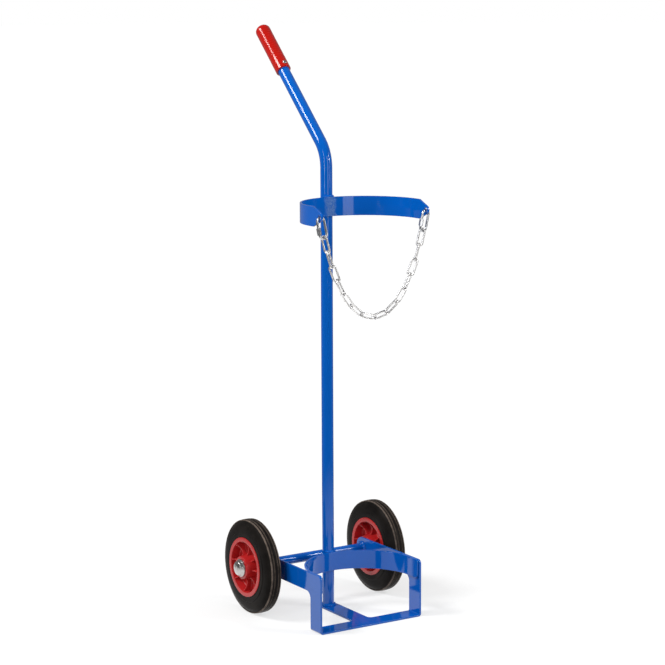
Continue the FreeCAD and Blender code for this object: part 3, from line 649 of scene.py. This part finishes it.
def wheel_centre():
    """Hub, web and ring in one section, and the ribs."""
    section = rounded(both_sides([
        (HUB_HALF, HUB_BORE, 0.5), (HUB_HALF, HUB_RADIUS, 1.2), (WEB_HALF, 26.5, 2.5), (WEB_HALF, 52, 2.5),
        (RIM_HALF, RIM_INSIDE, 0.9), (RIM_HALF, RIM_RADIUS, 0.9), (SEAT_HALF, RIM_RADIUS, 0.4),
        (SEAT_HALF, SEAT_RADIUS, 0),
    ]), steps=5)
    points, faces = lathe(section, segments=144)
    rib_points, rib_faces = wheel_ribs()
    faces += [tuple(len(points) + number for number in face) for face in rib_faces]
    return points + rib_points, faces


def add_wheels():
    """Each wheel's tyre, and its moulded centre with hub, web, ribs and ring."""
    for side, place in WHEEL_PLACES.items():
        body = f"{side}_wheel"
        points, faces = lathe(tyre_outline(), segments=200)
        add_piece(f"{side}_tyre_skin", moved(points, UNTURNED, place), faces, body, rubber,
                  [f"{side}_tyre"])
        points, faces = wheel_centre()
        add_piece(f"{side}_wheel_centre", moved(points, UNTURNED, place), faces, body, rim_red,
                  [f"{side}_rim"])


# Caps: the radii of the bore and the flange, the height above the seat, and the sheet's thickness.
CAP_BORE = 10.1
CAP_FLANGE = 18.6
CAP_HEIGHT = 12.3
CAP_SHEET = 1


def add_caps():
    """Pressed push-on caps: a flange, a sloping side and a nearly flat crown."""
    section = rounded([
        (0, CAP_BORE, 0), (0, CAP_FLANGE, 0.3), (1.4, CAP_FLANGE, 0.6), (1.6, 16.9, 0.8), (8.2, 14.6, 3.2),
        (11.6, 8, 6), (CAP_HEIGHT, 1, 0), (CAP_HEIGHT, NEAR_AXIS, 0), (CAP_HEIGHT - CAP_SHEET, NEAR_AXIS, 0),
        (7.4, 13.4, 2.5), (1.2, 15.8, 0.5), (0.9, CAP_BORE, 0),
    ])
    points, faces = lathe(section, segments=96)
    for side, sign in SIDES.items():
        turn = Matrix.Diagonal((sign, 1, 1))
        place = Vector((sign * CAP_SEAT, *AXLE_LINE))
        add_piece(f"{side}_pressed_cap", moved(points, turn, place), faces, "frame", cap_zinc,
                  [f"{side}_axle_cap"])


# Weld beads: the radii of what they go round, how finely they are built, how much they bulge and flatten,
# how far they go into the tube and into the face below, the share of their width down there, and the share
# of their full size at an open end.
TUBE_RADIUS = 12.5
AXLE_RADIUS = 10
BEAD_STEP = 0.35
BEAD_PROFILE = 7
BEAD_BULGE = 0.16
BEAD_FLATNESS = 1.4
BEAD_SINK = 0.4
BEAD_FOOT = 0.3
BEAD_FOOT_SHARE = 0.6
BEAD_END = 0.25

# Ripples: their length, their depth, the range of their sizes, and how many of those are drawn for a bead.
RIPPLE_PITCH = 2.3
RIPPLE_DEPTH = 0.1
RIPPLE_SIZES = (0.93, 1.05)
RIPPLE_DRAWS = 200


def bead_section(radius, size):
    """(distance from the axis, height) of a bulged fillet between a tube of a radius and a flat face."""
    section = []
    for step in range(BEAD_PROFILE):
        share = step / (BEAD_PROFILE - 1)
        bulge = 1 + BEAD_BULGE * math.sin(math.pi * share)
        out = size * math.sin(math.pi / 2 * share) ** BEAD_FLATNESS * bulge
        high = size * math.cos(math.pi / 2 * share) ** BEAD_FLATNESS * bulge
        section.append((radius - BEAD_SINK if step == 0 else radius + out, high))
    section.append((radius + size * BEAD_FOOT_SHARE, -BEAD_FOOT))
    section.append((radius - BEAD_SINK, -BEAD_FOOT))
    return section


def ripple(sizes, run):
    """The share of the bead's size at a length along it: each ripple swells, and grows into the next."""
    number = int(run / RIPPLE_PITCH)
    share = run / RIPPLE_PITCH % 1
    swell = 1 - RIPPLE_DEPTH + RIPPLE_DEPTH * math.sin(math.pi * share) ** 0.5
    return (sizes[number] * (1 - share) + sizes[number + 1] * share) * swell


def weld_bead(draws, radius, leg, start, end):
    """A rippled bead round a tube of a radius, with its axis along Z, from one angle to another."""
    points = []
    faces = []
    whole = math.isclose(end - start, math.tau)
    steps = round((end - start) * radius / BEAD_STEP)
    sizes = [draws.uniform(*RIPPLE_SIZES) for _ in range(RIPPLE_DRAWS)]
    stations = steps if whole else steps + 1
    for step in range(stations):
        angle = start + (end - start) * step / steps
        size = leg * ripple(sizes, step * BEAD_STEP)
        if not whole:
            from_end = min(step, steps - step) * BEAD_STEP
            size *= BEAD_END + (1 - BEAD_END) * math.sqrt(min(1, from_end / leg))
        section = bead_section(radius, size)
        outward = Vector((math.cos(angle), math.sin(angle), 0))
        points += [outward * reach + Vector((0, 0, high)) for reach, high in section]
    count = len(section)
    for station in range(stations if whole else stations - 1):
        faces += strip(station * count, (station + 1) % stations * count, count)
    if not whole:
        faces.append(tuple(range(count)))
        faces.append(tuple(range((stations - 1) * count, stations * count)))
    return points, faces


def on_tube(node):
    """The foot, on the tube's axis, of a weld round the tube."""
    return Vector((0, TUBE_Y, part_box(node)[0].z))


def add_welds():
    """Rippled beads under the same paint, each seeded by its own number."""
    front = math.radians(-90)
    reach = math.radians(62)
    part = (front - reach, front + reach)
    whole = (-math.pi, math.pi)
    # Name, node, radius of the tube or axle, size, stretch round it, turn and place.
    beads = [
        ("foot_bead", "foot_weld", TUBE_RADIUS, 4.4, whole, UNTURNED, on_tube("foot_weld")),
        ("lower_collar_bead", "lower_collar_weld", TUBE_RADIUS, 3.6, part, UNTURNED,
         on_tube("lower_collar_weld")),
        ("upper_collar_bead", "upper_collar_weld", TUBE_RADIUS, 3.8, part, UNTURNED,
         on_tube("upper_collar_weld")),
    ]
    for side, sign in SIDES.items():
        inwards = Matrix.Rotation(-sign * math.pi / 2, 3, "Y")
        place = Vector((sign * ARM_INSIDE, *AXLE_LINE))
        beads.append((f"{side}_axle_bead", "axle_welds", AXLE_RADIUS, 4.4, whole, inwards, place))
    for number, (name, node, radius, leg, (start, end), turn, place) in enumerate(beads):
        points, faces = weld_bead(random.Random(number), radius, leg, start, end)
        add_piece(name, moved(points, turn, place), faces, "frame", paint, [node])


# Handle: its axis starts at the bend's corner, in metres, and leans back from the vertical.
HANDLE_START = Vector((0, TUBE_Y, 0.9663))
HANDLE_TILT = math.radians(46)
TILTED = Matrix.Rotation(math.pi / 2 - HANDLE_TILT, 3, "X")
ALONG_HANDLE = Vector((0, math.sin(HANDLE_TILT), math.cos(HANDLE_TILT)))

# Grip: its ends along the handle from that corner, its radii, the rounding of its end, the thickness of
# its closed end, how far from each end its side starts and stops, and the step between points of its side.
GRIP_MOUTH = 233
GRIP_END = 360.7
GRIP_RADIUS = 16.2
GRIP_LIP = 16.1
GRIP_BORE = 12.62
GRIP_ROUNDING = 11.9
GRIP_WALL = 4
GRIP_SIDE_START = 1.2
GRIP_SIDE_STOP = 14
GRIP_STEP = 0.45

# Ribs of the grip: where along the handle they start and end, and how they fade there.
GRIP_RIB_START = 265
GRIP_RIB_END = 346
GRIP_RIB_FADE = 4
GRIP_RIB_PITCH = 6.1
GRIP_RIB_DEPTH = 0.3
GRIP_RIB_FLATNESS = 1.6


def grip_radius(run):
    """Shallow rounded ribs, but smooth near the mouth and at the end."""
    fade = max(0, min(1, (run - GRIP_RIB_START) / GRIP_RIB_FADE, (GRIP_RIB_END - run) / GRIP_RIB_FADE))
    phase = math.pi * (run - GRIP_RIB_START - GRIP_RIB_FADE / 2) / GRIP_RIB_PITCH
    wave = abs(math.sin(phase)) ** GRIP_RIB_FLATNESS
    return GRIP_RADIUS - GRIP_RIB_DEPTH * fade * wave


def add_grip():
    """The soft sleeve on the handle's end."""
    steps = int((GRIP_END - GRIP_MOUTH - GRIP_SIDE_STOP) / GRIP_STEP)
    runs = [GRIP_MOUTH + GRIP_SIDE_START + GRIP_STEP * step for step in range(steps)]
    corners = [(GRIP_MOUTH + 5, GRIP_BORE, 0), (GRIP_MOUTH, GRIP_BORE, 0.3), (GRIP_MOUTH, GRIP_LIP, 0.8)]
    corners += [(run, grip_radius(run), 0) for run in runs]
    corners += [(GRIP_END, GRIP_RADIUS, GRIP_ROUNDING), (GRIP_END, NEAR_AXIS, 0)]
    corners += [(GRIP_END - GRIP_WALL, NEAR_AXIS, 0), (GRIP_END - GRIP_WALL, GRIP_BORE, 0)]
    points, faces = lathe(rounded(corners, steps=10), segments=96)
    turn = TILTED @ Matrix.Rotation(math.pi / 2, 3, "Z")
    add_piece("ribbed_grip", moved(points, turn, HANDLE_START), faces, "frame", grip_red,
              ["hand_grip"])


# Grip screw: its place from the grip's mouth, its pan head, and the cross recess in it.
SCREW_PLACE = 10
HEAD_RADIUS = 4.2
HEAD_SEAT = 16.1
HEAD_HEIGHT = 2.4
HEAD_RINGS = 26
HEAD_SPOKES = 72
CROSS_HALF = 0.55
CROSS_REACH = 2.2
CROSS_DEPTH = 1.3


def head_point(radius, angle):
    """A point of the pan head, lower in the cross recess, with the handle's axis at height 0."""
    x, y = radius * math.cos(angle), radius * math.sin(angle)
    dome = HEAD_HEIGHT * (1 - (radius / HEAD_RADIUS) ** 4) ** 0.5
    in_cross = min(abs(x), abs(y)) < CROSS_HALF and max(abs(x), abs(y)) < CROSS_REACH
    return Vector((x, y, HEAD_SEAT + dome - (CROSS_DEPTH if in_cross else 0)))


def add_screw():
    """The pan head of the screw that keeps the grip on, with flat facets so that the recess stays crisp."""
    points = []
    faces = []
    for ring in range(HEAD_RINGS + 1):
        radius = HEAD_RADIUS * ring / HEAD_RINGS
        points += [head_point(radius, math.tau * spoke / HEAD_SPOKES) for spoke in range(HEAD_SPOKES)]
    for ring in range(HEAD_RINGS):
        faces += strip(ring * HEAD_SPOKES, (ring + 1) * HEAD_SPOKES, HEAD_SPOKES)
    place = HANDLE_START + ALONG_HANDLE * (GRIP_MOUTH + SCREW_PLACE) * MM
    piece = add_piece("cross_screw", moved(points, TILTED, place), faces, "frame", zinc,
                      ["grip_screw"])
    for face in piece.data.polygons:
        face.use_smooth = False


# Chain: the number of links, and how far a leg's axis is from the link's middle.
LINK_COUNT = 14
LEG_OFFSET = 6


def link_frame(node):
    """A link's centre, its long axis and the direction across it, from the node's own points."""
    spots = [point.co.copy() for point in node.data.vertices]
    centre = sum(spots, Vector()) / len(spots)
    along = max((spot - centre for spot in spots), key=lambda step: step.length).normalized()
    flat = [spot - centre - along * (spot - centre).dot(along) for spot in spots]
    across = max(flat, key=lambda step: step.length).normalized()
    return centre, along, across


def add_link_seams():
    """The flash of each link's butt weld, on one leg and then on the other along the chain."""
    points = []
    faces = []
    section = rounded([
        (-1.5, 1.7, 0), (-1.4, 2.02, 0), (-0.5, 2.22, 0.3), (0.1, 2.12, 0.2), (0.6, 2.3, 0.3),
        (1.4, 2.02, 0), (1.5, 1.7, 0),
    ], steps=3)
    seam, seam_faces = lathe(section, segments=28)
    for number in range(1, LINK_COUNT + 1):
        centre, along, across = link_frame(NODES[f"chain_link_{number:02d}"])
        side = 1 if number % 2 else -1
        turn = Matrix((along, across, along.cross(across))).transposed()
        faces += [tuple(len(points) + corner for corner in face) for face in seam_faces]
        points += moved(seam, turn, centre + across * side * LEG_OFFSET * MM)
    add_piece("link_seams", points, faces, "chain", chain_zinc)


add_camera()
bpy.context.scene.view_settings.view_transform = "Standard"
add_floor()
add_world()
for lamp in LAMPS:
    add_lamp(*lamp)

dress_nodes()
for name in SOFTENED_NODES:
    soften_edges(NODES[name], SOFT_EDGE)
add_wheels()
add_caps()
add_welds()
add_grip()
add_screw()
add_link_seams()
